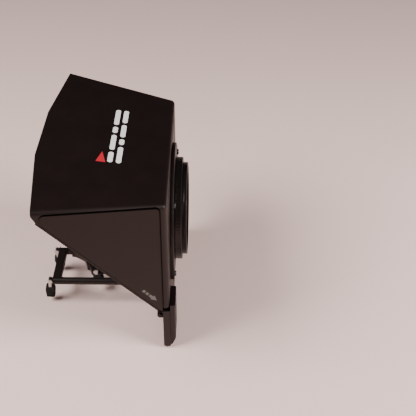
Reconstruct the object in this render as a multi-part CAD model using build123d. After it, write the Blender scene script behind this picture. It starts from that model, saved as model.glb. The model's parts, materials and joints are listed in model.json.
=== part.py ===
from build123d import *
from math import atan2, cos, degrees, radians, sin
import os

# Phone teleprompter that screws onto a camera lens.
# A flared hood covers a sloping beam splitter; a folding holder below carries the phone.
# +Z is up, +Y points to the camera and -Y to the presenter. Right is +X.
# The origin is on the lens axis, at the face of the adapter ring that seats on the lens.

os.makedirs("parts", exist_ok=True)

# Clearances
run_gap = 0.05          # radial, pin in its bearing
face_gap = 0.2          # between faces that turn or slide past each other
screw_gap = 0.3         # radial, lock screw in its hole
far = 130.0             # half size of solids that only cut
sunk = 0.5              # how far joined solids run into each other

# Small screws: radius, length, head radius, head height
body_screw = (1.25, 7.0, 2.3, 1.5)
ring_screw = (0.8, 3.4, 1.5, 0.9)
clip_screw = (0.8, 3.0, 1.6, 1.1)
screw_clear = 1.45      # radius of a hole that a body screw passes
head_gap = 0.2          # radial, screw head in its counterbore

# Edges
turned_edge = 0.4       # chamfer on turned pieces
moulded_edge = 1.0      # rounding on moulded pieces
cap_edge = 0.6          # rounding on the heads of pins

# Adapter ring, for a 77 mm filter thread
thread_radius = 38.5
thread_length = 4.0
clear_radius = 36.0
ring_radius = 42.5
ring_length = 5.6
ring_groove = (-5.1, -4.6)
ring_groove_depth = 0.5
hub_radius = 40.0
retainer_radius = 44.0
retainer_thick = 1.8
gasket_thick = 1.0
gasket_bore = 40.6
gasket_radius = 43.4
index_angle = 57.0      # from +X towards +Z
index_size = (2.6, 0.9)
index_y = -2.6
index_depth = 0.4
retainer_screw_radius = 38.2

# Mount plate
plate_thick = 2.8
plate_front = -8.6
plate_back = plate_front + plate_thick
plate_radius = 54.4
plate_bottom = -38.7
plate_chamfer = 8.0
plate_screw_radius = 48.6
plate_screw_angle = 40.0
plate_low_screw = (47.0, -31.0)

# Ring lock, on the left of the mount plate
lock_angle = 200.0
lock_y = -2.2
lock_boss = (43.3, 53.0)
lock_boss_size = (7.2, 10.0)
lock_screw_radius = 1.5
lock_knob_radius = 5.4
lock_knob = (59.6, 67.0)
lock_knob_grip = 4.0    # depth of the screw in the knob
lock_knob_grooves = 16

# Main frame
frame_front = -14.4
frame_back = plate_front
frame_margin_back = -11.0
frame_half = 71.5
frame_core_half = 60.0
frame_top = 56.3
frame_core_top = 54.0
frame_round = 6.0
frame_core_round = 8.0
frame_ledge = -46.8
frame_bottom = -88.5
foot_half = 75.0
foot_round = 2.2
window_radius = 46.5
window_rim = (3.0, 1.2)  # width, and height above the plate's front

# Leg covers, behind the outer ends of the foot
cover_thick = 4.2
cover_x = (51.0, 74.2)
cover_top = -41.2
cover_bottom = -85.5
cover_slant = (3.0, 6.5)  # of the lower rear edge, along Y and Z
cover_seat = 1.6          # depth of the screw heads
cover_chamfer = 0.8
cover_screw_x = 62.6
cover_screw_z = (-53.0, -74.0)

# Hood
hood_back = -8.8
hood_half_back = 75.0
hood_flare = 0.27       # half width gained per millimetre forwards
hood_top_back = 59.7
hood_rise = 0.133       # height gained per millimetre forwards
hood_wall = 3.2
hood_flange = 2.0
hood_round = 3.2
hood_back_round = 3.6
hood_foot_y = -15.2
hood_foot_z = -45.6
hood_lip_y = -98.2
hood_lip_z = 62.0
hood_corner_y = -101.0
hood_corner_drop = 3.5
hood_nose_y = -109.5
hood_nose_half = 31.0
hood_rib = 5.6
hood_rib_bottom = -42.2
recess_depth = 0.9
recess_back_y = -13.2
recess_drop_back = 0.8
recess_drop_front = 2.4
recess_front_y = -96.2
recess_round = 4.0
border_depth = 2.6      # of the groove along the top and rear of the recess
border_top = 2.2        # its width at the top
border_back = 0.9       # its width at the rear
hood_window_half = 60.4
hood_window_top = 54.6
hood_window_round = 8.4

# Printed marks
ink_depth = 0.25
emblem_y = -50.8
emblem_rows = [(-3.3, [14.0, 21.0, 9.0, 23.0]), (3.3, [22.0, 8.0, 18.0, 19.0])]
emblem_bar = 4.0
emblem_space = 3.0
emblem_end = 29.0
cue_place = (22.5, -10.2)
cue_size = (14.0, 7.6)
label_y = -23.4
label_z = -26.6
label_dashes = [(-7.6, 2.8), (-3.6, 2.8), (0.8, 3.6)]  # place and length along the slope
label_height = 2.2
label_head = (2.6, 8.0, 2.4)  # start, tip and half width of the arrow head

# Beam splitter and its frame: v runs up the slope, t points out of it, forwards and down
slope = atan2(hood_lip_z - hood_foot_z, hood_foot_y - hood_lip_y)
glass_frame_v = (7.0, 131.0)
glass_flange_v = (2.6, 135.4)
glass_pocket_v = (11.0, 126.0)
glass_window_v = (15.0, 122.0)
body_t = (-3.2, 0.3)
flange_t = (0.3, 1.5)
pocket_t = 0.7
body_inset = 3.7
flange_inset = 0.8
pocket_inset = 9.5
window_inset = 13.5
gasket_t = 0.3
glass_thick = 2.0
glass_play = 0.3
upstand_y = (-95.6, -93.0)
upstand_low = 58.0
clip_v = (40.0, 100.0)
clip_thick = 0.8
clip_wide = 8.0
clip_tongue = 2.4
clip_heel = 2.5         # how far the foot runs out past its screw

# Glass hinge
glass_hinge_y = -16.9
glass_hinge_z = -54.0
knuckle_radius = 2.2
lug_high = 3.3          # half height of the lug
lug_chamfer = 1.2
glass_pin_radius = 1.1
glass_arm_x = (60.4, 65.6)
glass_arm_v = (7.0, 13.0)
glass_arm_t = -0.7
glass_arm_knee = (4.0, 6.0)  # height of its two knees above the hinge, rear and front
glass_arm_belly = 1.4   # how far the front knee stands out
glass_lug_x = (66.0, 71.5)
washer_radius = 2.1
glass_pin_x = (60.6, 71.5)
glass_cap = (1.6, 2.0)  # length and radius of the pin's head

# Phone holder
holder_hinge_y = -20.4
holder_hinge_z = -66.5
barrel_radius = 4.2
holder_pin_radius = 1.6
holder_half = 30.0
holder_lug_x = (30.4, 35.0)
holder_cap = (1.4, 2.8)
base_block_y = (-32.0, -21.5)
base_block_half = 27.5
base_block_z = (-72.0, -62.5)
base_round = 2.0
base_stop_half = 14.0
base_stop_top = -69.5
grub_y = -28.0
grub_radius = 1.5
grub_socket = (0.8, 1.0)  # radius and depth
rail_x = 19.5
rail_z = -66.5
rail_radius = 3.2
rail_bore = 2.3
rail_bar = (4.6, 4.4)
rail_back = -24.5
rail_front = -112.2
front_bar_y = (-113.2, -106.2)
front_bar_z = (-69.2, -63.8)
front_bar_half = 22.2

# Claws: a steel fork that turns on a tongue and carries a rubber block
tongue_half = 1.0
tongue_radius = 1.6
axle_radius = 0.9
fork_thick = 1.2
fork_wide = 2.4
fork_eye = 2.0          # radius of the fork's round end
claw_pad = (6.8, 8.6, 9.2)
claw_pad_taper = 0.7    # narrowing of the block towards its end
claw_pad_round = 0.9
claw_hold = 1.5         # depth of the fork in the block
claw_pivot_z = -66.0
claws = {  # x and y of the pivot, from the pivot to the block, degrees below the horizontal
    "front_right": (rail_x, -115.4, 8.6, 86.0),
    "front_left": (-rail_x, -115.4, 8.6, 97.0),
    "rear_right": (6.5, -77.3, 5.4, 76.0),
    "rear_left": (-6.5, -77.3, 5.4, 76.0),
}

# Sliding jaw
jaw_sleeve_x = (-24.6, -15.4)
jaw_sleeve_y = (-101.5, -71.0)
jaw_z = (-69.8, -63.2)
jaw_web = [(-12.6, -94.5), (-8.8, -89.4), (-4.5, -87.2)]
jaw_web_end = (1.0, 0.3)  # direction in which the web's curve ends
jaw_end = [(1.6, -85.4), (2.4, -83.0), (8.2, -81.0)]
jaw_rear_y = -79.3
jaw_play = 0.15
jaw_lock_y = -86.0
jaw_screw_radius = 1.4
jaw_knob_radius = 4.5
jaw_knob_x = (-34.6, -26.6)
jaw_knob_grooves = 12

# Plane through which left and right pieces mirror
middle = Plane.YZ


def block(x, y, z):
    """Box between the two limits given for each axis."""
    size = [abs(b - a) for a, b in (x, y, z)]
    centre = [(a + b) / 2 for a, b in (x, y, z)]
    return Pos(*centre) * Box(*size)


def rod_x(radius, x, y, z):
    """Cylinder along X between the limits x."""
    return Pos((x[0] + x[1]) / 2, y, z) * Rot(0, 90, 0) * Cylinder(radius, abs(x[1] - x[0]))


def rod_y(radius, y, x=0.0, z=0.0):
    """Cylinder along Y between the limits y."""
    return Pos(x, (y[0] + y[1]) / 2, z) * Rot(90, 0, 0) * Cylinder(radius, abs(y[1] - y[0]))


def bore_x(radius, y, z):
    """Cutter for a hole along X, right through."""
    return rod_x(radius, (-far, far), y, z)


def bore_y(radius, x=0.0, z=0.0):
    """Cutter for a hole along Y, right through."""
    return rod_y(radius, (-far, far), x, z)


def side_prism(points, x):
    """Outline in the YZ plane, drawn out between the limits x."""
    plane = Plane(origin=(x[0], 0, 0), x_dir=(0, 1, 0), z_dir=(1, 0, 0))
    return extrude(plane * make_face(Polyline(*points, close=True)), amount=x[1] - x[0])


def both_sides(piece):
    """The piece and its mirror image, as one group."""
    return Compound(children=[piece, mirror(piece, about=middle)])


def save(name, piece):
    piece.label = name
    export_step(piece, f"parts/{name}.step")


def screw(radius, length, head_radius, head_height):
    """Pan head screw along +Z, seated at z = 0, with a cross recess."""
    body = Pos(0, 0, -length / 2) * Cylinder(radius, length)
    head = Pos(0, 0, head_height / 2) * Cylinder(head_radius, head_height)
    head = fillet(head.edges().group_by(Axis.Z)[-1], head_height * 0.45)
    arm = head_radius * 1.2
    slot = arm * 0.25
    for size in ((arm, slot), (slot, arm)):
        head -= Pos(0, 0, head_height) * Box(*size, head_height)
    return body + head


def screw_hole(size):
    """Blind hole that a screw of this size fills, from its seat downwards."""
    radius, length = size[:2]
    return Pos(0, 0, -length / 2) * Cylinder(radius, length + 0.1)


def knob(radius, length, grooves):
    """Grip knob along +Z from z = 0, with grooves round its rim."""
    body = Pos(0, 0, length / 2) * Cylinder(radius, length)
    body = chamfer(body.edges().filter_by(GeomType.CIRCLE), radius * 0.12)
    groove = Pos(radius * 1.09, 0, length / 2) * Cylinder(radius * 0.16, 2 * length)
    for i in range(grooves):
        body -= Rot(0, 0, 360 * i / grooves) * groove
    return body


# ---------------------------------------------------------------- shapes shared by pieces

def hood_half(y):
    """Outer half width of the hood at y."""
    return hood_half_back + hood_flare * (hood_back - y)


def hood_top(y):
    """Outer height of the hood's top at y."""
    return hood_top_back + hood_rise * (hood_back - y)


def flared_block(inset, back, front):
    """The hood's outer form, solid, shrunk by inset at its sides and top."""
    sections = []
    for y in (back, front):
        plane = Plane(origin=(0, y, 0), x_dir=(1, 0, 0), z_dir=(0, -1, 0))
        top = hood_top(y) - inset
        middle_z = (top - far) / 2
        sections.append(plane * Pos(0, middle_z) * Rectangle(2 * (hood_half(y) - inset), top + far))
    form = loft(sections, ruled=True)
    edges = [e for e in form.edges() if abs(e.tangent_at(0.5).Y) > 0.8 and e.center().Z > 0]
    return fillet(edges, max(hood_round - inset, moulded_edge))


def long_block(inset):
    """The hood's form, longer than the hood at both ends."""
    return flared_block(inset, -hood_back, -far)


def slope_point(v, t):
    """Y and Z of a point in the slope."""
    y = hood_foot_y - v * cos(slope) - t * sin(slope)
    z = hood_foot_z + v * sin(slope) - t * cos(slope)
    return y, z


def slope_plane():
    """Plane of the hood's diagonal edge: x across, y up the slope, z forwards and down."""
    return Plane(
        origin=(0, hood_foot_y, hood_foot_z),
        x_dir=(1, 0, 0),
        z_dir=(0, -sin(slope), -cos(slope)),
    )


def slope_slab(v, t, inset):
    """Slab lying in the slope between the limits v and t, cut to the flare of the hood."""
    size = (2 * far, v[1] - v[0], t[1] - t[0])
    slab = slope_plane() * Pos(0, (v[0] + v[1]) / 2, (t[0] + t[1]) / 2) * Box(*size)
    return slab & long_block(inset)


# ---------------------------------------------------------------- lens fitting

def adapter_ring():
    ring = rod_y(ring_radius, (-ring_length, 0))
    ring = chamfer(ring.edges().filter_by(GeomType.CIRCLE), turned_edge)
    groove = rod_y(ring_radius + 1, ring_groove) - bore_y(ring_radius - ring_groove_depth)
    hub = rod_y(hub_radius, (plate_front - face_gap, -ring_length))
    thread = rod_y(thread_radius, (0, thread_length))
    thread = chamfer(thread.edges().group_by(Axis.Y)[-1], turned_edge)
    ring = ring - groove + hub + thread
    ring -= bore_y(clear_radius)
    ring -= index_cut()
    for place in retainer_places():
        ring -= place * screw_hole(ring_screw)
    return ring


def index_cut():
    """Short line along Y on the rim of the ring."""
    mark = Pos(ring_radius, index_y, 0) * Box(2 * index_depth, *index_size)
    return Rot(0, -index_angle, 0) * mark


def index_mark():
    return index_cut() & rod_y(ring_radius, (-ring_length, 0))


def retainer_places():
    """Frames of the retainer screws, +Z leaving the screw heads towards the presenter."""
    out = []
    for i in range(4):
        angle = radians(45 + 90 * i)
        x, z = retainer_screw_radius * cos(angle), retainer_screw_radius * sin(angle)
        out.append(Plane(origin=(x, plate_front - face_gap, z), x_dir=(1, 0, 0), z_dir=(0, -1, 0)))
    return out


def retainer_ring():
    front = plate_front - face_gap
    ring = rod_y(retainer_radius, (front - retainer_thick, front))
    ring = chamfer(ring.edges().group_by(Axis.Y)[0], turned_edge)
    ring -= bore_y(clear_radius)
    seat = retainer_thick - ring_screw[3]
    counterbore = Pos(0, 0, seat + retainer_thick) * Cylinder(ring_screw[2] + head_gap, 2 * retainer_thick)
    for place in retainer_places():
        ring -= place * Cylinder(ring_screw[0], 2 * retainer_thick)
        ring -= place * counterbore
    return ring


def retainer_screws():
    one = Pos(0, 0, retainer_thick - ring_screw[3]) * screw(*ring_screw)
    return Compound(children=[place * one for place in retainer_places()])


def light_gasket():
    front = plate_front - face_gap - retainer_thick
    return rod_y(gasket_radius, (front - gasket_thick, front)) - bore_y(gasket_bore)


# ---------------------------------------------------------------- mount plate and ring lock

def lock_plane():
    """Frame of the ring lock: +Z points outwards along its screw."""
    angle = radians(lock_angle)
    return Plane(origin=(0, lock_y, 0), x_dir=(0, 1, 0), z_dir=(cos(angle), 0, sin(angle)))


def plate_screw_places():
    angle = radians(plate_screw_angle)
    high = (plate_screw_radius * cos(angle), plate_screw_radius * sin(angle))
    out = []
    for x, z in (high, plate_low_screw):
        for side in (1, -1):
            out.append(Plane(origin=(side * x, plate_back, z), x_dir=(1, 0, 0), z_dir=(0, 1, 0)))
    return out


def mount_plate():
    arch = rod_y(plate_radius, (plate_front, plate_back)) & block((-far, far), (-far, far), (0, far))
    skirt = block((-plate_radius, plate_radius), (plate_front, plate_back), (plate_bottom, 0))
    low = skirt.edges().filter_by(Axis.Y).group_by(Axis.Z)[0]
    plate = arch + chamfer(low, plate_chamfer)
    boss_length = lock_boss[1] - lock_boss[0]
    boss = lock_plane() * Pos(0, 0, sum(lock_boss) / 2) * Box(*lock_boss_size, boss_length)
    boss = fillet(boss.edges().filter_by(Axis.Y), moulded_edge)
    plate += boss & block((-far, 0), (plate_front + sunk, far), (-far, far))
    plate -= bore_y(hub_radius + run_gap)
    plate -= rod_y(ring_radius + face_gap, (plate_back, far))
    hole = Pos(0, 0, sum(lock_boss) / 2) * Cylinder(lock_screw_radius + screw_gap, 3 * boss_length)
    plate -= lock_plane() * hole
    for place in plate_screw_places():
        plate -= place * Cylinder(screw_clear, 3 * plate_thick)
    return plate


def plate_screws():
    return Compound(children=[place * screw(*body_screw) for place in plate_screw_places()])


def lock_screw():
    start = ring_radius + face_gap
    length = lock_knob[0] + lock_knob_grip - start
    shank = Pos(0, 0, start + length / 2) * Cylinder(lock_screw_radius, length)
    shank = chamfer(shank.edges().group_by(Axis.Z)[0], turned_edge)
    return lock_plane() * shank


def lock_knob_piece():
    grip = knob(lock_knob_radius, lock_knob[1] - lock_knob[0], lock_knob_grooves)
    grip -= Pos(0, 0, lock_knob_grip / 2) * Cylinder(lock_screw_radius, lock_knob_grip)
    return lock_plane() * Pos(0, 0, lock_knob[0]) * grip


# ---------------------------------------------------------------- main frame

def cover_screw_places(side):
    y = frame_back + cover_thick - cover_seat
    x = side * cover_screw_x
    return [Plane(origin=(x, y, z), x_dir=(1, 0, 0), z_dir=(0, 1, 0)) for z in cover_screw_z]


def frame_plate():
    """The upright plate: thin margin that the hood covers, thick core, thick foot."""
    margin = block((-frame_half, frame_half), (frame_front, frame_margin_back), (frame_ledge, frame_top))
    margin = fillet(margin.edges().filter_by(Axis.Y).group_by(Axis.Z)[-1], frame_round)
    core_z = (frame_ledge, frame_core_top)
    core = block((-frame_core_half, frame_core_half), (frame_front, frame_back), core_z)
    core = fillet(core.edges().filter_by(Axis.Y).group_by(Axis.Z)[-1], frame_core_round)
    foot = block((-foot_half, foot_half), (frame_front, frame_back), (frame_bottom, frame_ledge))
    foot = fillet(foot.edges().filter_by(Axis.Y).group_by(Axis.Z)[0], foot_round)
    foot = fillet(foot.edges().filter_by(Axis.X).group_by(Axis.Z)[0], moulded_edge)
    return margin + core + foot


def glass_lug():
    """Right hinge lug of the glass frame."""
    y, z = glass_hinge_y, glass_hinge_z
    lug = block(glass_lug_x, (y - knuckle_radius, frame_front), (z - lug_high, z + lug_high))
    front = lug.edges().filter_by(Axis.X).group_by(Axis.Y)[0]
    return chamfer(front, lug_chamfer) - bore_x(glass_pin_radius, y, z)


def holder_lug():
    """Right hinge lug of the phone holder."""
    y, z = holder_hinge_y, holder_hinge_z
    lug = rod_x(barrel_radius, holder_lug_x, y, z)
    lug += block(holder_lug_x, (y, frame_front), (z - barrel_radius, z + barrel_radius))
    return lug - bore_x(holder_pin_radius, y, z)


def main_frame():
    frame = frame_plate()
    wide, high = window_rim
    frame += rod_y(window_radius + wide, (frame_front - high, frame_front))
    frame -= bore_y(window_radius)
    for lug in (glass_lug(), holder_lug()):
        frame += lug + mirror(lug, about=middle)
    for place in plate_screw_places() + cover_screw_places(1) + cover_screw_places(-1):
        frame -= place * screw_hole(body_screw)
    return frame


def leg_cover():
    """Right cover, with its lower rear edge cut off at a slant."""
    back = frame_back + cover_thick
    deep, high = cover_slant
    points = [
        (frame_back, cover_bottom),
        (frame_back, cover_top),
        (back, cover_top),
        (back, cover_bottom + high),
        (back - deep, cover_bottom),
    ]
    cover = side_prism(points, cover_x)
    upright = cover.edges().filter_by(Axis.Z)
    cover = chamfer(upright.group_by(Axis.Y)[-1], cover_chamfer)
    for place in cover_screw_places(1):
        cover -= place * Cylinder(screw_clear, 3 * cover_thick)
        cover -= place * Pos(0, 0, cover_thick) * Cylinder(body_screw[2] + head_gap, 2 * cover_thick)
    return cover


def cover_screws():
    places = cover_screw_places(1) + cover_screw_places(-1)
    return Compound(children=[place * screw(*body_screw) for place in places])


def glass_hinge_pin():
    y, z = glass_hinge_y, glass_hinge_z
    length, radius = glass_cap
    pin = rod_x(glass_pin_radius, glass_pin_x, y, z)
    head = rod_x(radius, (glass_pin_x[1], glass_pin_x[1] + length), y, z)
    return pin + fillet(head.edges().group_by(Axis.X)[-1], cap_edge)


def hinge_washer():
    y, z = glass_hinge_y, glass_hinge_z
    washer = rod_x(washer_radius, (glass_arm_x[1], glass_lug_x[0]), y, z)
    return washer - bore_x(glass_pin_radius + run_gap, y, z)


def holder_hinge_pin():
    end = holder_lug_x[1]
    length, radius = holder_cap
    pin = rod_x(holder_pin_radius, (-end, end), holder_hinge_y, holder_hinge_z)
    for side in (1, -1):
        pin += rod_x(radius, (side * end, side * (end + length)), holder_hinge_y, holder_hinge_z)
    return pin


# ---------------------------------------------------------------- hood

def hood_outline():
    """Side outline of the hood, clear of the glass, across the full width."""
    corner_z = hood_top(hood_corner_y) - hood_corner_drop
    points = [
        (far, hood_foot_z),
        (hood_foot_y, hood_foot_z),
        (hood_lip_y, hood_lip_z),
        (hood_corner_y, corner_z),
        (-far, corner_z),
        (-far, far),
        (far, far),
    ]
    return side_prism(points, (-far, far))


def hood_nose():
    """Plan outline: straight nose, ends sloping back to the corners."""
    run = hood_half(hood_corner_y) - hood_nose_half
    lean = (hood_corner_y - hood_nose_y) / run
    corner_y = hood_nose_y + lean * (far - hood_nose_half)
    points = [
        (-hood_nose_half, hood_nose_y),
        (hood_nose_half, hood_nose_y),
        (far, corner_y),
        (far, far),
        (-far, far),
        (-far, corner_y),
    ]
    return extrude(Plane((0, 0, -far)) * make_face(Polyline(*points, close=True)), amount=2 * far)


def side_form(back, drop_back, drop_front, round_radius):
    """Prism across the hood whose side outline is that of the recess, or of its inner part."""
    points = [
        (back, -far),
        (back, hood_top(back) - drop_back),
        (recess_front_y, hood_top(recess_front_y) - drop_front),
        (recess_front_y, -far),
    ]
    form = side_prism(points, (-far, far))
    tops = [e for e in form.edges().filter_by(Axis.X) if e.center().Z > 0]
    return fillet(tops, round_radius)


def side_core(inset):
    """Solid between the planes of the hood's sides, each moved inwards by inset."""
    wide, narrow = hood_half(-far) - inset, hood_half(far) - inset
    points = [(-wide, -far), (wide, -far), (narrow, far), (-narrow, far)]
    return extrude(Plane((0, 0, -far)) * make_face(Polyline(*points, close=True)), amount=2 * far)


def side_recess():
    """Shallow recess in both outer side faces, open along the slope, with a grooved border."""
    whole = side_form(recess_back_y, recess_drop_back, recess_drop_front, recess_round)
    drops = (recess_drop_back + border_top, recess_drop_front + border_top)
    inner = side_form(recess_back_y - border_back, *drops, recess_round - border_back)
    return (whole - side_core(recess_depth)) + (whole - inner - side_core(border_depth))


def hood_shell():
    outer = flared_block(0.0, hood_back, -far)
    rear = outer.faces().sort_by(Axis.Y)[-1]
    outer = fillet([e for e in rear.edges() if e.center().Z > 1 - far], hood_back_round)
    inner = flared_block(hood_wall, hood_back - hood_flange, -far - sunk)
    shell = (outer - inner) & hood_outline() & hood_nose()
    window_y = (hood_back - 2 * hood_flange, 0)
    window = block((-hood_window_half, hood_window_half), window_y, (-far, hood_window_top))
    shell -= fillet(window.edges().filter_by(Axis.Y).group_by(Axis.Z)[-1], hood_window_round)
    shell -= block((-far, far), (hood_back - hood_rib, 0), (-far, hood_rib_bottom))
    shell -= side_recess()
    label = label_ink()
    return shell - emblem_ink() - cue_ink() - label - mirror(label, about=middle)


def ink(plane, shape):
    """Printed shape, let into the surface so that it lies flush."""
    return extrude(plane * shape, amount=-ink_depth)


def top_plane():
    """Plane of the hood's top at the emblem: x across, y to the rear."""
    return Plane(
        origin=(0, emblem_y, hood_top(emblem_y)),
        x_dir=(1, 0, 0),
        z_dir=(0, hood_rise, 1),
    )


def emblem_ink():
    """Two rows of script lines, as bars with round ends."""
    shape = Sketch()
    for offset, lengths in emblem_rows:
        x = emblem_end
        for length in lengths:
            shape += Pos(x - length / 2, offset) * SlotOverall(length, emblem_bar)
            x -= length + emblem_space
    return ink(top_plane(), shape)


def cue_ink():
    """Cue arrow beside the script lines, pointing along them."""
    x, y = cue_place
    half_long, half_wide = cue_size[0] / 2, cue_size[1] / 2
    points = [(x + half_long, y - half_wide), (x + half_long, y + half_wide), (x - half_long, y)]
    return ink(top_plane(), make_face(Polyline(*points, close=True)))


def label_plane():
    """Plane of the right recessed side face at the label: x down along the slope."""
    return Plane(
        origin=(hood_half(label_y) - recess_depth, label_y, label_z),
        x_dir=(-hood_flare * cos(slope), cos(slope), -sin(slope)),
        z_dir=(1, hood_flare, 0),
    )


def label_ink():
    """Dashed arrow that points down along the slope."""
    start, tip, half = label_head
    shape = make_face(Polyline((start, -half), (tip, 0), (start, half), close=True))
    for place, length in label_dashes:
        shape += Pos(place, 0) * Rectangle(length, label_height)
    return ink(label_plane(), shape)


# ---------------------------------------------------------------- beam splitter

def glass_arm():
    """Right arm that joins the glass frame to its hinge."""
    y, z = glass_hinge_y, glass_hinge_z
    r = knuckle_radius
    rear_knee, front_knee = glass_arm_knee
    points = [
        (y + r, z),
        (y + r, z + rear_knee),
        slope_point(glass_arm_v[0], glass_arm_t),
        slope_point(glass_arm_v[1], flange_t[1]),
        (y - r - glass_arm_belly, z + front_knee),
        (y - r, z),
    ]
    arm = side_prism(points, glass_arm_x) + rod_x(r, glass_arm_x, y, z)
    return arm - bore_x(glass_pin_radius + run_gap, y, z)


def glass_frame():
    frame = slope_slab(glass_frame_v, body_t, body_inset)
    frame += slope_slab(glass_flange_v, flange_t, flange_inset)
    frame -= slope_slab(glass_pocket_v, (body_t[0] - 1, pocket_t), pocket_inset)
    frame -= slope_slab(glass_window_v, (body_t[0] - 1, flange_t[1] + 1), window_inset)
    frame += block((-far, far), upstand_y, (upstand_low, far)) & long_block(body_inset)
    arm = glass_arm()
    frame += arm
    frame += mirror(arm, about=middle)
    for place in clip_places():
        frame -= place * Pos(0, 0, clip_thick) * screw_hole(clip_screw)
    return frame


def glass_gasket():
    ring = slope_slab(glass_pocket_v, (gasket_t, pocket_t), pocket_inset)
    return ring - slope_slab(glass_window_v, (gasket_t - 1, pocket_t + 1), window_inset)


def beam_splitter():
    v = (glass_pocket_v[0] + glass_play, glass_pocket_v[1] - glass_play)
    return slope_slab(v, (gasket_t - glass_thick, gasket_t), pocket_inset + glass_play)


def clip_places():
    """Frames of the clip screws on the inner face of the glass frame, +Z leaving it."""
    out = []
    for v in clip_v:
        y, z = slope_point(v, body_t[0])
        x = hood_half(y) - (body_inset + pocket_inset) / 2
        for side in (1, -1):
            place = Plane(origin=(side * x, y, z), x_dir=(side, 0, 0), z_dir=(0, sin(slope), cos(slope)))
            out.append(place)
    return out


def glass_clip():
    """Stepped clip: the foot sits on the frame, the tongue presses on the pane."""
    glass_top = gasket_t - glass_thick - body_t[0]
    ledge = (pocket_inset - body_inset) / 2
    foot_end = clip_heel - ledge / 2
    foot_start = -1.5 * ledge - clip_tongue
    foot = block((foot_start, foot_end), (-clip_wide / 2, clip_wide / 2), (0, clip_thick))
    tongue_x = (foot_start, foot_start + clip_tongue)
    tongue = block(tongue_x, (-clip_wide / 2, clip_wide / 2), (-glass_top, clip_thick))
    return foot + tongue - Cylinder(clip_screw[0] + run_gap, 4 * clip_thick)


def glass_clips():
    return Compound(children=[place * glass_clip() for place in clip_places()])


def clip_screws():
    one = Pos(0, 0, clip_thick) * screw(*clip_screw)
    return Compound(children=[place * one for place in clip_places()])


# ---------------------------------------------------------------- phone holder

def holder_base():
    y, z = holder_hinge_y, holder_hinge_z
    barrel = rod_x(barrel_radius, (-holder_half, holder_half), y, z)
    body = block((-base_block_half, base_block_half), base_block_y, base_block_z)
    body = fillet(body.edges().filter_by(Axis.Z).group_by(Axis.Y)[0], base_round)
    stop_y = (base_block_y[1], frame_front - face_gap)
    stop = block((-base_stop_half, base_stop_half), stop_y, (base_block_z[0], base_stop_top))
    base = barrel + body + stop
    base -= bore_x(holder_pin_radius + run_gap, y, z)
    base -= rod_y(rail_radius, (rail_back, rail_front), rail_x, rail_z)
    base -= rail_left()
    for side in (1, -1):
        hole = Cylinder(grub_radius, rail_bar[0] + rail_radius)
        base -= Pos(side * rail_x, grub_y, base_block_z[0]) * hole
    return base


def rail_left():
    half, high = rail_bar[0] / 2, rail_bar[1] / 2
    return block((-rail_x - half, -rail_x + half), (rail_front, rail_back), (rail_z - high, rail_z + high))


def rail_right():
    tube = rod_y(rail_radius, (rail_front, rail_back), rail_x, rail_z)
    return tube - bore_y(rail_bore, rail_x, rail_z)


def rail_set_screws():
    """Grub screws that hold the rails in the base."""
    out = []
    for side, half in ((1, rail_radius), (-1, rail_bar[1] / 2)):
        top = rail_z - half
        length = top - base_block_z[0] - face_gap
        body = Pos(0, 0, length / 2) * Cylinder(grub_radius, length)
        body -= Cylinder(grub_socket[0], 2 * grub_socket[1])
        out.append(Pos(side * rail_x, grub_y, top - length) * body)
    return Compound(children=out)


def claw_tongue(claw, root_y):
    """Tongue that reaches from the bar at root_y to the claw's pivot."""
    x, y = claw[:2]
    across = (x - tongue_half, x + tongue_half)
    round_end = rod_x(tongue_radius, across, y, claw_pivot_z)
    high = (claw_pivot_z - tongue_radius, claw_pivot_z + tongue_radius)
    tongue = round_end + block(across, (y, root_y), high)
    return tongue - bore_x(axle_radius + run_gap, y, claw_pivot_z)


def front_bar():
    plate = block((-front_bar_half, front_bar_half), (front_bar_y[0], rail_front), front_bar_z)
    beam = block((-rail_x, rail_x), front_bar_y, front_bar_z)
    beam = fillet(beam.edges().filter_by(Axis.X).group_by(Axis.Y)[-1], moulded_edge)
    bar = plate + beam - rod_y(rail_radius, (rail_front, 0), rail_x, rail_z) - rail_left()
    for claw in (claws["front_right"], claws["front_left"]):
        bar += claw_tongue(claw, front_bar_y[0] + sunk)
    return bar


def claw_plane(claw, direction):
    """Frame at a claw's pivot: +Z runs down the fork, X stays across."""
    x, y, _, lean = claw
    down = (0, direction * cos(radians(lean)), -sin(radians(lean)))
    return Plane(origin=(x, y, claw_pivot_z), x_dir=(1, 0, 0), z_dir=down)


def claw_fork(claw, direction):
    """Two steel arms on an axle, running down into the rubber block."""
    length = claw[2] + claw_hold
    inner = tongue_half + face_gap
    arm = Pos(inner + fork_thick / 2, 0, length / 2) * Box(fork_thick, fork_wide, length)
    arm += rod_x(fork_eye, (inner, inner + fork_thick), 0, 0)
    fork = arm + mirror(arm, about=middle)
    fork += rod_x(axle_radius, (-inner - fork_thick, inner + fork_thick), 0, 0)
    return claw_plane(claw, direction) * fork


def claw_block(claw, direction):
    """Rubber block at the end of the fork, a little narrower towards its lower end."""
    wide, deep, high = claw_pad
    taper = claw_pad_taper
    low = Rectangle(wide - taper, deep - 2 * taper)
    pad = loft([Rectangle(wide, deep), Pos(0, 0, high) * low])
    pad = fillet(pad.edges(), claw_pad_round)
    return claw_plane(claw, direction) * Pos(0, 0, claw[2]) * pad - claw_fork(claw, direction)


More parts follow.
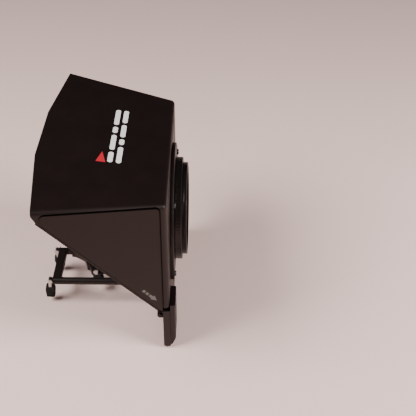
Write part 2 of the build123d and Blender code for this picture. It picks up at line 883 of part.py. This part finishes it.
def jaw_slider():
    start_x, end_x = jaw_sleeve_x
    start_y, end_y = jaw_sleeve_y
    web = Spline((end_x, start_y), *jaw_web, jaw_end[0], tangents=[(0, 1), jaw_web_end])
    sides = Polyline(
        *jaw_end, (jaw_end[-1][0], jaw_rear_y), (end_x, jaw_rear_y),
        (end_x, end_y), (start_x, end_y), (start_x, start_y), (end_x, start_y),
    )
    outline = make_face([web, sides])
    jaw = extrude(Plane((0, 0, jaw_z[0])) * outline, amount=jaw_z[1] - jaw_z[0])
    half, high = rail_bar[0] / 2 + jaw_play, rail_bar[1] / 2 + jaw_play
    jaw -= block((-rail_x - half, -rail_x + half), (-far, 0), (rail_z - high, rail_z + high))
    jaw -= rod_x(jaw_screw_radius + screw_gap, (-far, -rail_x), jaw_lock_y, rail_z)
    for claw in (claws["rear_right"], claws["rear_left"]):
        jaw += claw_tongue(claw, jaw_rear_y - sunk)
    return jaw


def jaw_lock_screw():
    shank_end = -rail_x - rail_bar[0] / 2 - face_gap
    shank = rod_x(jaw_screw_radius, (jaw_knob_x[1], shank_end), jaw_lock_y, rail_z)
    grip = knob(jaw_knob_radius, jaw_knob_x[1] - jaw_knob_x[0], jaw_knob_grooves)
    place = Plane(origin=(jaw_knob_x[1], jaw_lock_y, rail_z), x_dir=(0, 1, 0), z_dir=(-1, 0, 0))
    return shank + place * grip


# ---------------------------------------------------------------- write every piece

save("adapter_ring", adapter_ring())
save("index_mark", index_mark())
save("retainer_ring", retainer_ring())
save("retainer_screws", retainer_screws())
save("light_gasket", light_gasket())
save("mount_plate", mount_plate())
save("plate_screws", plate_screws())
save("ring_lock_screw", lock_screw())
save("ring_lock_knob", lock_knob_piece())
save("main_frame", main_frame())
save("leg_cover_right", leg_cover())
save("leg_cover_left", mirror(leg_cover(), about=middle))
save("cover_screws", cover_screws())
save("glass_hinge_pins", both_sides(glass_hinge_pin()))
save("hinge_washers", both_sides(hinge_washer()))
save("holder_hinge_pin", holder_hinge_pin())
save("hood_shell", hood_shell())
save("hood_emblem", emblem_ink())
save("hood_cue_mark", cue_ink())
save("push_label_right", label_ink())
save("push_label_left", mirror(label_ink(), about=middle))
save("glass_frame", glass_frame())
save("glass_gasket", glass_gasket())
save("beam_splitter", beam_splitter())
save("glass_clips", glass_clips())
save("clip_screws", clip_screws())
save("holder_base", holder_base())
save("rail_right", rail_right())
save("rail_left", rail_left())
save("rail_set_screws", rail_set_screws())
save("front_bar", front_bar())
save("jaw_slider", jaw_slider())
save("jaw_lock_screw", jaw_lock_screw())
for name, claw in claws.items():
    direction = -1 if name.startswith("front") else 1
    save(f"claw_fork_{name}", claw_fork(claw, direction))
    save(f"claw_pad_{name}", claw_block(claw, direction))
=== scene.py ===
import bpy
import json
from math import atan2, cos, pi, radians, sin
from mathutils import Matrix, Vector

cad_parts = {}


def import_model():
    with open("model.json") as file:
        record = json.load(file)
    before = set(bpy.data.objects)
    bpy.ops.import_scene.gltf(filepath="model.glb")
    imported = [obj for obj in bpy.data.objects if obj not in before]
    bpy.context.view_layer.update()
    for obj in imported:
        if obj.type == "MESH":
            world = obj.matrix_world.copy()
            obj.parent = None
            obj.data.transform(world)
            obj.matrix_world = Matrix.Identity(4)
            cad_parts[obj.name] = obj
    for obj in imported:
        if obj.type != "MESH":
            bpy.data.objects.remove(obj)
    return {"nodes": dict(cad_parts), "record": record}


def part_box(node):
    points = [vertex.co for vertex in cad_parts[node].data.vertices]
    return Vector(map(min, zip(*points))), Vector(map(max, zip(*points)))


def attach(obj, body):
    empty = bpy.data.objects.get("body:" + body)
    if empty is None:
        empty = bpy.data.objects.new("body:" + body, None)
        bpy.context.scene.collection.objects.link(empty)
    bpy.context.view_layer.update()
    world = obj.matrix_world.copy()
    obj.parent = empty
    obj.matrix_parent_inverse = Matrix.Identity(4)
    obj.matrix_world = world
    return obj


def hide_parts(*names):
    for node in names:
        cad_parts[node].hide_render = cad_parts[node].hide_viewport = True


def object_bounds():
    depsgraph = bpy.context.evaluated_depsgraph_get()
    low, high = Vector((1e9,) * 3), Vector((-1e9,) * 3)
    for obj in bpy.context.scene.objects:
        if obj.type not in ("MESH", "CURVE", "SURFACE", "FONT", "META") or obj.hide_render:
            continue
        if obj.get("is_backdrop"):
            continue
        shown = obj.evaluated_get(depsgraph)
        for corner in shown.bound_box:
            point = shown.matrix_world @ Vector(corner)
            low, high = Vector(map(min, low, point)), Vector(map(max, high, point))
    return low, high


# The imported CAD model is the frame. Everything here is in metres, in its axes.
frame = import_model()
nodes = frame["nodes"]
record = frame["record"]
joints = {joint["name"]: joint for joint in record["behaviour"]["joints"]}
slots = {part["node"]: part["material_slot"] for part in record["subparts"]}
body_of_node = {node: body for body, names in record["behaviour"]["bodies"].items() for node in names}
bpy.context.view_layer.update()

MM = 0.001
WARM = (1.0, 0.88, 0.85, 1.0)   # tint of the shine on the plastics and black metals
EDGE = 0.35 * MM                # width of the bevel on the boxy CAD nodes
scene = bpy.context.scene


# ------------------------------------------------------------------ node helpers

class Shader:
    """A material with one Principled shader, and short calls for its nodes."""

    def __init__(self, name):
        self.material = bpy.data.materials.new(name)
        self.material.use_nodes = True
        self.tree = self.material.node_tree
        self.base = self.tree.nodes["Principled BSDF"]
        self.place = self.node("ShaderNodeTexCoord").outputs["Object"]

    def node(self, kind, **values):
        made = self.tree.nodes.new(kind)
        for key, value in values.items():
            setattr(made, key, value)
        return made

    def link(self, source, target):
        self.tree.links.new(source, target)

    def fixed(self, **values):
        """Sets sockets of the shader by name, with _ for a space."""
        for key, value in values.items():
            self.base.inputs[key.replace("_", " ")].default_value = value

    def stretched(self, scale):
        """Object coordinates, scaled by a vector."""
        mapping = self.node("ShaderNodeMapping")
        mapping.inputs["Scale"].default_value = scale
        self.link(self.place, mapping.inputs["Vector"])
        return mapping.outputs["Vector"]

    def noise(self, size, detail=3.0, rough=0.5, where=None):
        """Noise whose features are about size metres across."""
        made = self.node("ShaderNodeTexNoise")
        made.inputs["Scale"].default_value = 1.0 / size
        made.inputs["Detail"].default_value = detail
        made.inputs["Roughness"].default_value = rough
        self.link(where or self.place, made.inputs["Vector"])
        return made.outputs["Fac"]

    def spread(self, value, low, high, start=0.0, end=1.0):
        """Maps start..end of a value to low..high."""
        made = self.node("ShaderNodeMapRange")
        self.link(value, made.inputs["Value"])
        for key, number in (("From Min", start), ("From Max", end), ("To Min", low), ("To Max", high)):
            made.inputs[key].default_value = number
        return made.outputs["Result"]

    def blend(self, factor, first, second):
        """Mixes two colours, each a tuple or a socket."""
        made = self.node("ShaderNodeMix", data_type="RGBA")
        self.link(factor, made.inputs["Factor"])
        for socket, colour in ((made.inputs["A"], first), (made.inputs["B"], second)):
            if isinstance(colour, tuple):
                socket.default_value = (*colour, 1.0)
            else:
                self.link(colour, socket)
        return made.outputs["Result"]

    def sum(self, first, second, share):
        """First value plus a share of the second."""
        made = self.node("ShaderNodeMath", operation="MULTIPLY_ADD")
        self.link(second, made.inputs[0])
        made.inputs[1].default_value = share
        self.link(first, made.inputs[2])
        return made.outputs[0]

    def bump(self, height, depth, strength=1.0):
        """Relief of depth metres from a height of 0 to 1."""
        made = self.node("ShaderNodeBump")
        made.inputs["Strength"].default_value = strength
        made.inputs["Distance"].default_value = depth
        self.link(height, made.inputs["Height"])
        self.link(made.outputs["Normal"], self.base.inputs["Normal"])

    def edge(self, radius):
        """1 on outer and inner edges of the mesh, 0 on flat stretches."""
        rounded = self.node("ShaderNodeBevel", samples=4)
        rounded.inputs["Radius"].default_value = radius
        flat = self.node("ShaderNodeNewGeometry").outputs["Normal"]
        dot = self.node("ShaderNodeVectorMath", operation="DOT_PRODUCT")
        self.link(rounded.outputs["Normal"], dot.inputs[0])
        self.link(flat, dot.inputs[1])
        return self.spread(dot.outputs["Value"], 1.0, 0.0, 0.80, 0.995)

    def open_sky(self, distance):
        """1 in the open, towards 0 in creases narrower than the distance; the mask for painted crease
        shade.
        """
        made = self.node("ShaderNodeAmbientOcclusion", samples=8)
        made.inputs["Distance"].default_value = distance
        return made.outputs["AO"]


def scaled(colour, factor):
    """Colour with each channel multiplied."""
    return tuple(factor * c for c in colour)


# ------------------------------------------------------------------ materials

def moulded(name, colour, grain, depth, rough, worn):
    """Moulded plastic: spark-eroded grain, faint cloudiness, painted shade in creases, edges rubbed paler.
    """
    s = Shader(name)
    cloud = s.noise(22 * MM, 4.0, 0.6)
    speck = s.noise(grain, 2.0, 0.7)
    tone = s.blend(s.spread(cloud, 0.0, 1.0, 0.3, 0.7), scaled(colour, 0.92), scaled(colour, 1.10))
    rubbed = tuple(1.3 * c + 0.010 for c in colour)
    tone = s.blend(s.spread(s.edge(0.5 * MM), 0.0, worn), tone, rubbed)
    # painted shade: the colour falls to a quarter in creases and hollows narrower than 3 mm, where shade
    # falls
    tone = s.blend(s.spread(s.open_sky(3.0 * MM), 0.0, 1.0, 0.35, 0.80), scaled(colour, 0.25), tone)
    s.link(tone, s.base.inputs["Base Color"])
    shine = s.spread(cloud, rough - 0.02, rough + 0.02, 0.3, 0.7)
    s.link(s.sum(shine, speck, 0.06), s.base.inputs["Roughness"])
    s.bump(speck, depth)
    s.fixed(Specular_IOR_Level=0.3, Specular_Tint=WARM)
    return s.material


def anodised(name, colour, rough, line):
    """Black anodised metal with fine turning lines round the Y axis, worn paler on its edges."""
    s = Shader(name)
    lines = s.noise(line, 1.0, 0.5, s.stretched((0.04, 1.0, 0.04)))
    cloud = s.noise(6 * MM, 3.0, 0.6)
    tone = s.blend(cloud, scaled(colour, 0.85), scaled(colour, 1.15))
    tone = s.blend(s.spread(s.edge(0.25 * MM), 0.0, 0.3), tone, (0.08, 0.075, 0.073))
    s.link(tone, s.base.inputs["Base Color"])
    s.link(s.spread(cloud, rough - 0.04, rough + 0.06), s.base.inputs["Roughness"])
    s.bump(lines, 0.012 * MM)
    s.fixed(Specular_IOR_Level=0.3, Specular_Tint=WARM)
    return s.material


def steel(name, colour, rough, stretch):
    """Turned or rolled steel with fine scratches along one way."""
    s = Shader(name)
    scratch = s.noise(0.25 * MM, 3.0, 0.7, s.stretched(stretch))
    cloud = s.noise(2.5 * MM, 2.0, 0.5)
    s.link(s.blend(cloud, scaled(colour, 0.85), colour), s.base.inputs["Base Color"])
    s.link(s.sum(s.spread(cloud, rough - 0.03, rough + 0.05), scratch, 0.08), s.base.inputs["Roughness"])
    s.bump(scratch, 0.01 * MM)
    s.fixed(Metallic=1.0)
    return s.material


def rubber(name, colour, grain, rough):
    """Matt rubber or foam, with dust in its pores."""
    s = Shader(name)
    pores = s.noise(grain, 4.0, 0.65)
    dust = s.noise(4.0 * MM, 3.0, 0.6)
    dusty = tuple(1.8 * c + 0.004 for c in colour)
    s.link(s.blend(s.spread(dust, 0.0, 0.6, 0.45, 0.8), colour, dusty), s.base.inputs["Base Color"])
    s.link(s.spread(pores, rough - 0.08, rough + 0.08), s.base.inputs["Roughness"])
    s.bump(pores, 0.08 * MM, 0.8)
    s.fixed(Specular_IOR_Level=0.35)
    return s.material


def ink(name, colour):
    """Printed ink: slightly uneven cover on the grain beneath."""
    s = Shader(name)
    cover = s.noise(0.7 * MM, 3.0, 0.6)
    full = s.spread(cover, 0.0, 1.0, 0.35, 0.75)
    s.link(s.blend(full, scaled(colour, 0.88), colour), s.base.inputs["Base Color"])
    s.link(s.spread(cover, 0.38, 0.52), s.base.inputs["Roughness"])
    s.bump(s.noise(0.3 * MM, 2.0), 0.02 * MM)
    return s.material


def splitter(name):
    """Coated glass: part of the light is mirrored, the rest passes."""
    s = Shader(name)
    film = s.noise(30 * MM, 3.0, 0.55)
    s.link(s.blend(film, (0.80, 0.86, 0.88), (0.86, 0.90, 0.90)), s.base.inputs["Base Color"])
    s.link(s.spread(film, 0.015, 0.035), s.base.inputs["Roughness"])
    s.fixed(Metallic=0.3, Transmission_Weight=1.0, IOR=1.52)
    return s.material


def table_top(name):
    """Plain pale floor with a breath of unevenness."""
    s = Shader(name)
    cloud = s.noise(250 * MM, 2.0, 0.5)
    s.link(s.blend(cloud, (0.90, 0.665, 0.615), (0.93, 0.695, 0.645)), s.base.inputs["Base Color"])
    s.link(s.spread(cloud, 0.55, 0.65), s.base.inputs["Roughness"])
    return s.material


finishes = {
    "hood_plastic": moulded("hood_plastic", (0.0060, 0.0030, 0.0027), 0.32 * MM, 0.018 * MM, 0.46, 0.35),
    "frame_plastic": moulded("frame_plastic", (0.0085, 0.0055, 0.0053), 0.45 * MM, 0.022 * MM, 0.42, 0.5),
    "black_metal": anodised("black_metal", (0.010, 0.0078, 0.0074), 0.32, 0.20 * MM),
    "rail_metal": anodised("rail_metal", (0.0105, 0.0080, 0.0076), 0.34, 0.35 * MM),
    "screw_steel": steel("screw_steel", (0.10, 0.10, 0.105), 0.36, (1.0, 1.0, 1.0)),
    "pin_black": steel("pin_black", (0.030, 0.029, 0.030), 0.40, (0.1, 1.0, 1.0)),
    "spring_steel": steel("spring_steel", (0.50, 0.50, 0.52), 0.28, (0.1, 1.0, 1.0)),
    "prong_steel": steel("prong_steel", (0.62, 0.60, 0.59), 0.24, (1.0, 1.0, 0.08)),
    "claw_rubber": rubber("claw_rubber", (0.0065, 0.0055, 0.0055), 0.35 * MM, 0.72),
    "foam": rubber("foam", (0.006, 0.006, 0.006), 0.7 * MM, 0.92),
    "glass": splitter("glass"),
    "white_ink": ink("white_ink", (0.84, 0.83, 0.81)),
    "grey_ink": ink("grey_ink", (0.13, 0.12, 0.115)),
    "black_ink": ink("black_ink", (0.003, 0.003, 0.003)),
    "red_ink": ink("red_ink", (0.50, 0.015, 0.030)),
}


# ------------------------------------------------------------------ CAD nodes

def dress(piece, slot):
    """Gives a piece the finish of its slot."""
    piece.data.materials.clear()
    piece.data.materials.append(finishes[slot])


def soften(piece):
    """Rounds the sharp edges of a CAD node by a hair, so that they catch light."""
    weld = piece.modifiers.new("weld", "WELD")
    weld.merge_threshold = 1e-6
    flat = piece.modifiers.new("flat", "DECIMATE")
    flat.decimate_type = "DISSOLVE"
    flat.angle_limit = radians(0.5)
    bevel = piece.modifiers.new("bevel", "BEVEL")
    bevel.width = EDGE
    bevel.segments = 2
    bevel.limit_method = "ANGLE"
    bevel.angle_limit = radians(32)
    bevel.harden_normals = True


boxy = (
    "main_frame", "leg_cover_right", "leg_cover_left", "mount_plate",
    "holder_base", "front_bar", "jaw_slider",
)

for name, node in nodes.items():
    dress(node, slots[name])
for name in boxy:
    soften(nodes[name])


# ------------------------------------------------------------------ detailed pieces

class Along:
    """Local axes of a piece: z runs along the given direction from the origin."""

    def __init__(self, origin, direction, across):
        z = Vector(direction).normalized()
        x = (Vector(across) - z * z.dot(Vector(across))).normalized()
        self.matrix = Matrix.Translation(Vector(origin)) @ Matrix((x, z.cross(x), z)).transposed().to_4x4()

    def reach(self, node):
        """Lowest and highest local corners of a CAD node."""
        back = self.matrix.inverted()
        points = [back @ vertex.co for vertex in nodes[node].data.vertices]
        return [Vector(pick(p[axis] for p in points) for axis in range(3)) for pick in (min, max)]


def piece_from(name, rings, node, place, caps=True):
    """Skin over rings of points, in the place of a CAD node and with its body and finish."""
    columns = len(rings[0])
    points = [place.matrix @ Vector(point) for ring in rings for point in ring]
    faces = []
    for row in range(len(rings) - caps):
        below, above = row * columns, (row + 1) % len(rings) * columns
        for i in range(columns):
            j = (i + 1) % columns
            faces.append((below + i, below + j, above + j, above + i))
    if caps:
        last = (len(rings) - 1) * columns
        faces.append(tuple(reversed(range(columns))))
        faces.append(tuple(range(last, last + columns)))
    mesh = bpy.data.meshes.new(name)
    mesh.from_pydata(points, [], faces)
    mesh.shade_smooth()
    mesh.set_sharp_from_angle(angle=radians(35))
    piece = bpy.data.objects.new(name, mesh)
    scene.collection.objects.link(piece)
    dress(piece, slots[node])
    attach(piece, body_of_node[node])
    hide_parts(node)


def circle(radius, z, columns, relief=None):
    """Ring of points about the local z axis; relief gives the cut at an angle."""
    ring = []
    for i in range(columns):
        angle = 2 * pi * i / columns
        r = radius - (relief(angle) if relief else 0.0)
        ring.append((r * cos(angle), r * sin(angle), z))
    return ring


def thread_cut(z, pitch, depth):
    """Depth of a helical V thread at height z, for every angle."""
    return lambda angle: depth * abs(2 * ((z / pitch - angle / (2 * pi)) % 1.0) - 1)


def steps(start, end, size):
    """Evenly spaced values from start to end, about size apart."""
    count = max(1, round(abs(end - start) / size))
    return [start + (end - start) * i / count for i in range(count + 1)]


def adapter_ring():
    """Lens ring with a cut thread, a fluted grip and fine ridges in its bore."""
    place = Along((0, 0, 0), (0, 1, 0), (1, 0, 0))
    low, high = place.reach("adapter_ring")
    columns, rim = 480, high.x
    thread, bore, hub = rim - 4.0 * MM, rim - 6.5 * MM, rim - 2.5 * MM
    pitch, thread_depth, root = 0.75 * MM, 0.42 * MM, thread - 0.5 * MM
    flute_count, flute_depth, land = 96, 0.16 * MM, radians(5)
    grip_start, grip_end = -0.95 * MM, -4.25 * MM
    edge, back = 0.35 * MM, -5.6 * MM
    ridge_pitch, ridge_half, ridge_depth = 0.8 * MM, 0.3 * MM, 0.35 * MM
    first, last = place.reach("index_mark")
    mark_angle = atan2(first.y + last.y, first.x + last.x)

    def flutes(angle):
        """Cut of the grip's flutes, with a plain land round the index mark."""
        away = abs((angle - mark_angle + pi) % (2 * pi) - pi)
        return flute_depth * max(0.0, sin(flute_count * angle)) if away > land else 0.0

    rings = [circle(bore, high.z, columns), circle(thread - 0.6 * MM, high.z, columns)]
    for z in steps(high.z - 0.15 * MM, 0.45 * MM, 0.14 * MM):
        rings.append(circle(thread, z, columns, thread_cut(z, pitch, thread_depth)))
    seat = ((root, 0.3 * MM), (root, 0.0), (rim - edge, 0.0), (rim, -edge), (rim, -0.75 * MM))
    rings += [circle(radius, z, columns) for radius, z in seat]
    for z in steps(grip_start, grip_end, 0.55 * MM):
        rings.append(circle(rim, z, columns, flutes))
    groove = ((0.0, -4.45), (0.45, -4.6), (0.45, -5.0), (0.0, -5.15), (0.0, -5.35))
    rings += [circle(rim - drop * MM, z * MM, columns) for drop, z in groove]
    rear = ((rim - 0.25 * MM, back), (hub, back), (hub, low.z), (bore, low.z))
    rings += [circle(radius, z, columns) for radius, z in rear]
    for z in steps(low.z + 0.5 * MM, high.z - 0.5 * MM, ridge_pitch):
        rings.append(circle(bore, z - ridge_half, columns))
        rings.append(circle(bore + ridge_depth, z, columns))
        rings.append(circle(bore, z + ridge_half, columns))
    piece_from("lens_ring", rings, "adapter_ring", place, caps=False)


def lock_thread():
    """Thumb screw of the ring lock, with its thread cut."""
    joint = joints["ring_lock_turn"]
    place = Along(joint["pos_m"], joint["axis"], (0, 1, 0))
    low, high = place.reach("ring_lock_screw")
    radius, columns = high.x, 24
    pitch, depth, point = 0.5 * MM, 0.28 * MM, 0.4 * MM
    rings = [circle(radius - 0.45 * MM, low.z, columns)]
    for z in steps(low.z + point, high.z, 0.085 * MM):
        rings.append(circle(radius, z, columns, thread_cut(z, pitch, depth)))
    piece_from("ring_lock_thread", rings, "ring_lock_screw", place)


def rubber_pad(end):
    """Ribbed rubber block at the end of a claw, with soft edges and a collar round the fork."""
    node = f"claw_pad_{end}"
    pivot = Vector(joints[f"claw_swing_{end}"]["pos_m"])
    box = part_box(node)
    centre = (Vector(box[0]) + Vector(box[1])) / 2
    centre.x = pivot.x
    place = Along(pivot, centre - pivot, (1, 0, 0))
    low, high = place.reach(node)
    half_x, half_y, length = high.x, (high.y - low.y) / 2, high.z - low.z
    shift = (high.y + low.y) / 2
    columns, corner, narrowing = 48, 0.28, 0.14
    collar = ((1.6, 2.2), (0.9, 2.4), (0.6, 2.2), (0.5, 1.0), (0.3, 0.0))     # inset and rise
    shoulder = ((0.6, 0.005), (0.15, 0.03), (0.0, 0.08))                      # inset and place
    rib = ((0.0, -0.035), (0.32, -0.018), (0.32, 0.018), (0.0, 0.035))
    toe = ((0.0, 0.94), (0.2, 0.98), (0.7, 1.0))
    ribs, first, last = 6, 0.16, 0.86

    def outline(inset, t):
        """Rounded rectangle at t of the block's length, a little smaller towards its end."""
        taper = 1.0 - narrowing * t
        z = low.z + t * length
        ring = []
        for i in range(columns):
            angle = 2 * pi * (i + 0.5) / columns
            c, s = cos(angle), sin(angle)
            x = (half_x - inset) * taper * (abs(c) ** corner) * (1 if c > 0 else -1)
            y = (half_y - inset) * taper * (abs(s) ** corner) * (1 if s > 0 else -1)
            ring.append((x, y + shift, z))
        return ring

    rings = [outline(inset * MM, -rise * MM / length) for inset, rise in collar]
    rings += [outline(inset * MM, t) for inset, t in shoulder]
    for k in range(ribs):
        t = first + (last - first) * k / (ribs - 1)
        rings += [outline(inset * MM, t + offset) for inset, offset in rib]
    rings += [outline(inset * MM, t) for inset, t in toe]
    piece_from(f"rubber_pad_{end}", rings, node, place)


adapter_ring()
lock_thread()
for end in ("front_right", "front_left", "rear_right", "rear_left"):
    rubber_pad(end)


# ------------------------------------------------------------------ floor, light, camera

def floor():
    """Pale floor, a hair below the object."""
    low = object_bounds()[0].z - 1.0 * MM
    half = 6.0
    mesh = bpy.data.meshes.new("floor")
    corners = [(-half, -half, low), (half, -half, low), (half, half, low), (-half, half, low)]
    mesh.from_pydata(corners, [], [(0, 1, 2, 3)])
    piece = bpy.data.objects.new("floor", mesh)
    scene.collection.objects.link(piece)
    piece.data.materials.append(table_top("table_top"))
    piece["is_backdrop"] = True


def softbox(name, place, target, size, power):
    """Square area light of the given size, aimed at the target."""
    data = bpy.data.lights.new(name, "AREA")
    data.size = size
    data.energy = power
    data.color = (1.0, 0.96, 0.93)
    light = bpy.data.objects.new(name, data)
    light.location = place
    light.rotation_euler = (Vector(target) - Vector(place)).to_track_quat("-Z", "Y").to_euler()
    scene.collection.objects.link(light)


def world(strength):
    """Dim, even light from all round."""
    made = bpy.data.worlds.new("studio")
    made.use_nodes = True
    back = made.node_tree.nodes["Background"]
    back.inputs["Color"].default_value = (0.80, 0.66, 0.68, 1.0)
    back.inputs["Strength"].default_value = strength
    scene.world = made


def camera():
    """Seen from the right, 38 degrees above the lens axis, with a short telephoto."""
    rise, roll, distance = radians(38.0), radians(0.6), 0.669
    target = Vector((0.0, 0.0209, 0.0))
    back = Vector((cos(rise), 0.0, sin(rise)))
    right = Vector((0.0, 1.0, 0.0))
    up = back.cross(right)
    side = right * cos(roll) + up * sin(roll)
    top = up * cos(roll) - right * sin(roll)
    data = bpy.data.cameras.new("camera")
    data.lens, data.sensor_width = 69.2, 36.0
    data.clip_start, data.clip_end = 0.01, 50.0
    made = bpy.data.objects.new("camera", data)
    turn = Matrix((side, top, back)).transposed().to_4x4()
    made.matrix_world = Matrix.Translation(target + back * distance) @ turn
    scene.collection.objects.link(made)
    scene.camera = made


floor()
camera()
world(0.035)
softbox("key", (0.26, -0.76, 0.80), (0.08, -0.05, -0.08), 0.6, 18.0)
softbox("near", (0.34, 0.92, 0.60), (0.12, 0.08, -0.09), 0.5, 19.0)
